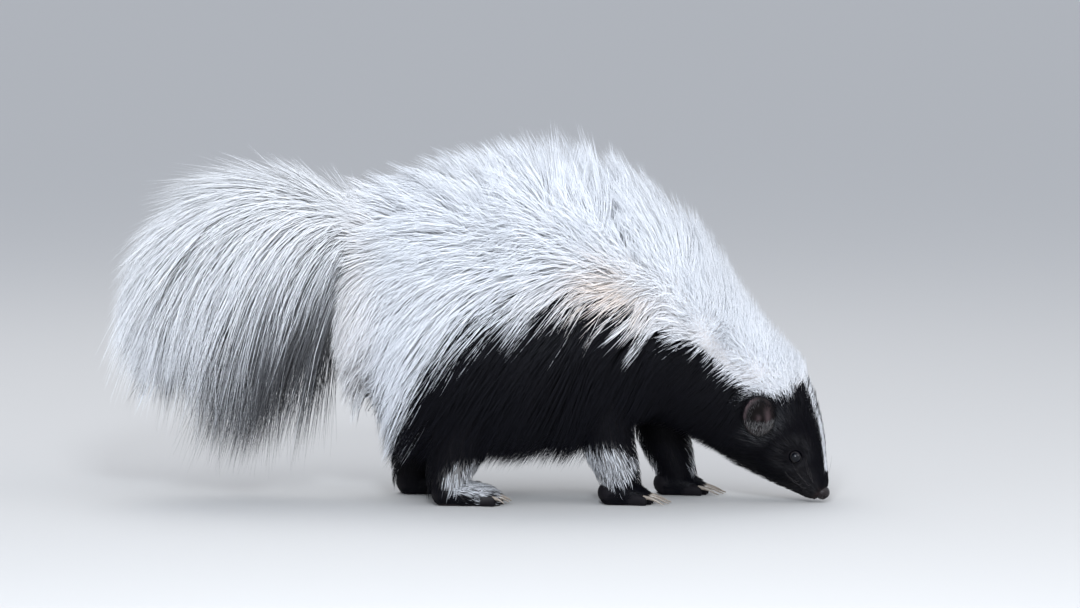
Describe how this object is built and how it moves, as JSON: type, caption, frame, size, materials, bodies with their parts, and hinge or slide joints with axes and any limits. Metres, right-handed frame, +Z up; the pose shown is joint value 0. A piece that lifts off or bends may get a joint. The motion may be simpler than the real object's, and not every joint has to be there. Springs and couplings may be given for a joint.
{
  "type": "striped skunk model",
  "caption": "Still, life-size striped skunk standing low with its nose to the ground, long coat and hanging tail plume, for museum display.",
  "frame": {"origin": "centre of the model's outline on the ground it stands on", "axes": "+X towards the nose, +Y to the animal's left, +Z up"},
  "size_m": [0.4918, 0.1814, 0.2572],
  "materials": {
    "torso_coat": "long soft fur, white above and black below",
    "neck_coat": "dense short fur, white above and black below",
    "tail_coat": "long loose hair, white mixed with black",
    "head_coat": "short flat fur, black with a thin white blaze",
    "leg_coat": "short fur, black",
    "ears": "thin skin with short fur",
    "eyes": "dark, wet, polished",
    "nose_pad": "moist bare skin",
    "paws": "short fur, bare soles and horn claws"
  },
  "bodies": {
    "root": {"torso": "torso_coat", "neck": "neck_coat", "tail": "tail_coat", "head": "head_coat", "ear_left": "ears", "ear_right": "ears", "eye_left": "eyes", "eye_right": "eyes", "nose": "nose_pad", "foreleg_left": "leg_coat", "foreleg_right": "leg_coat", "hindleg_left": "leg_coat", "hindleg_right": "leg_coat", "forepaw_left": "paws", "forepaw_right": "paws", "hindpaw_left": "paws", "hindpaw_right": "paws"}
  },
  "joints": []
}
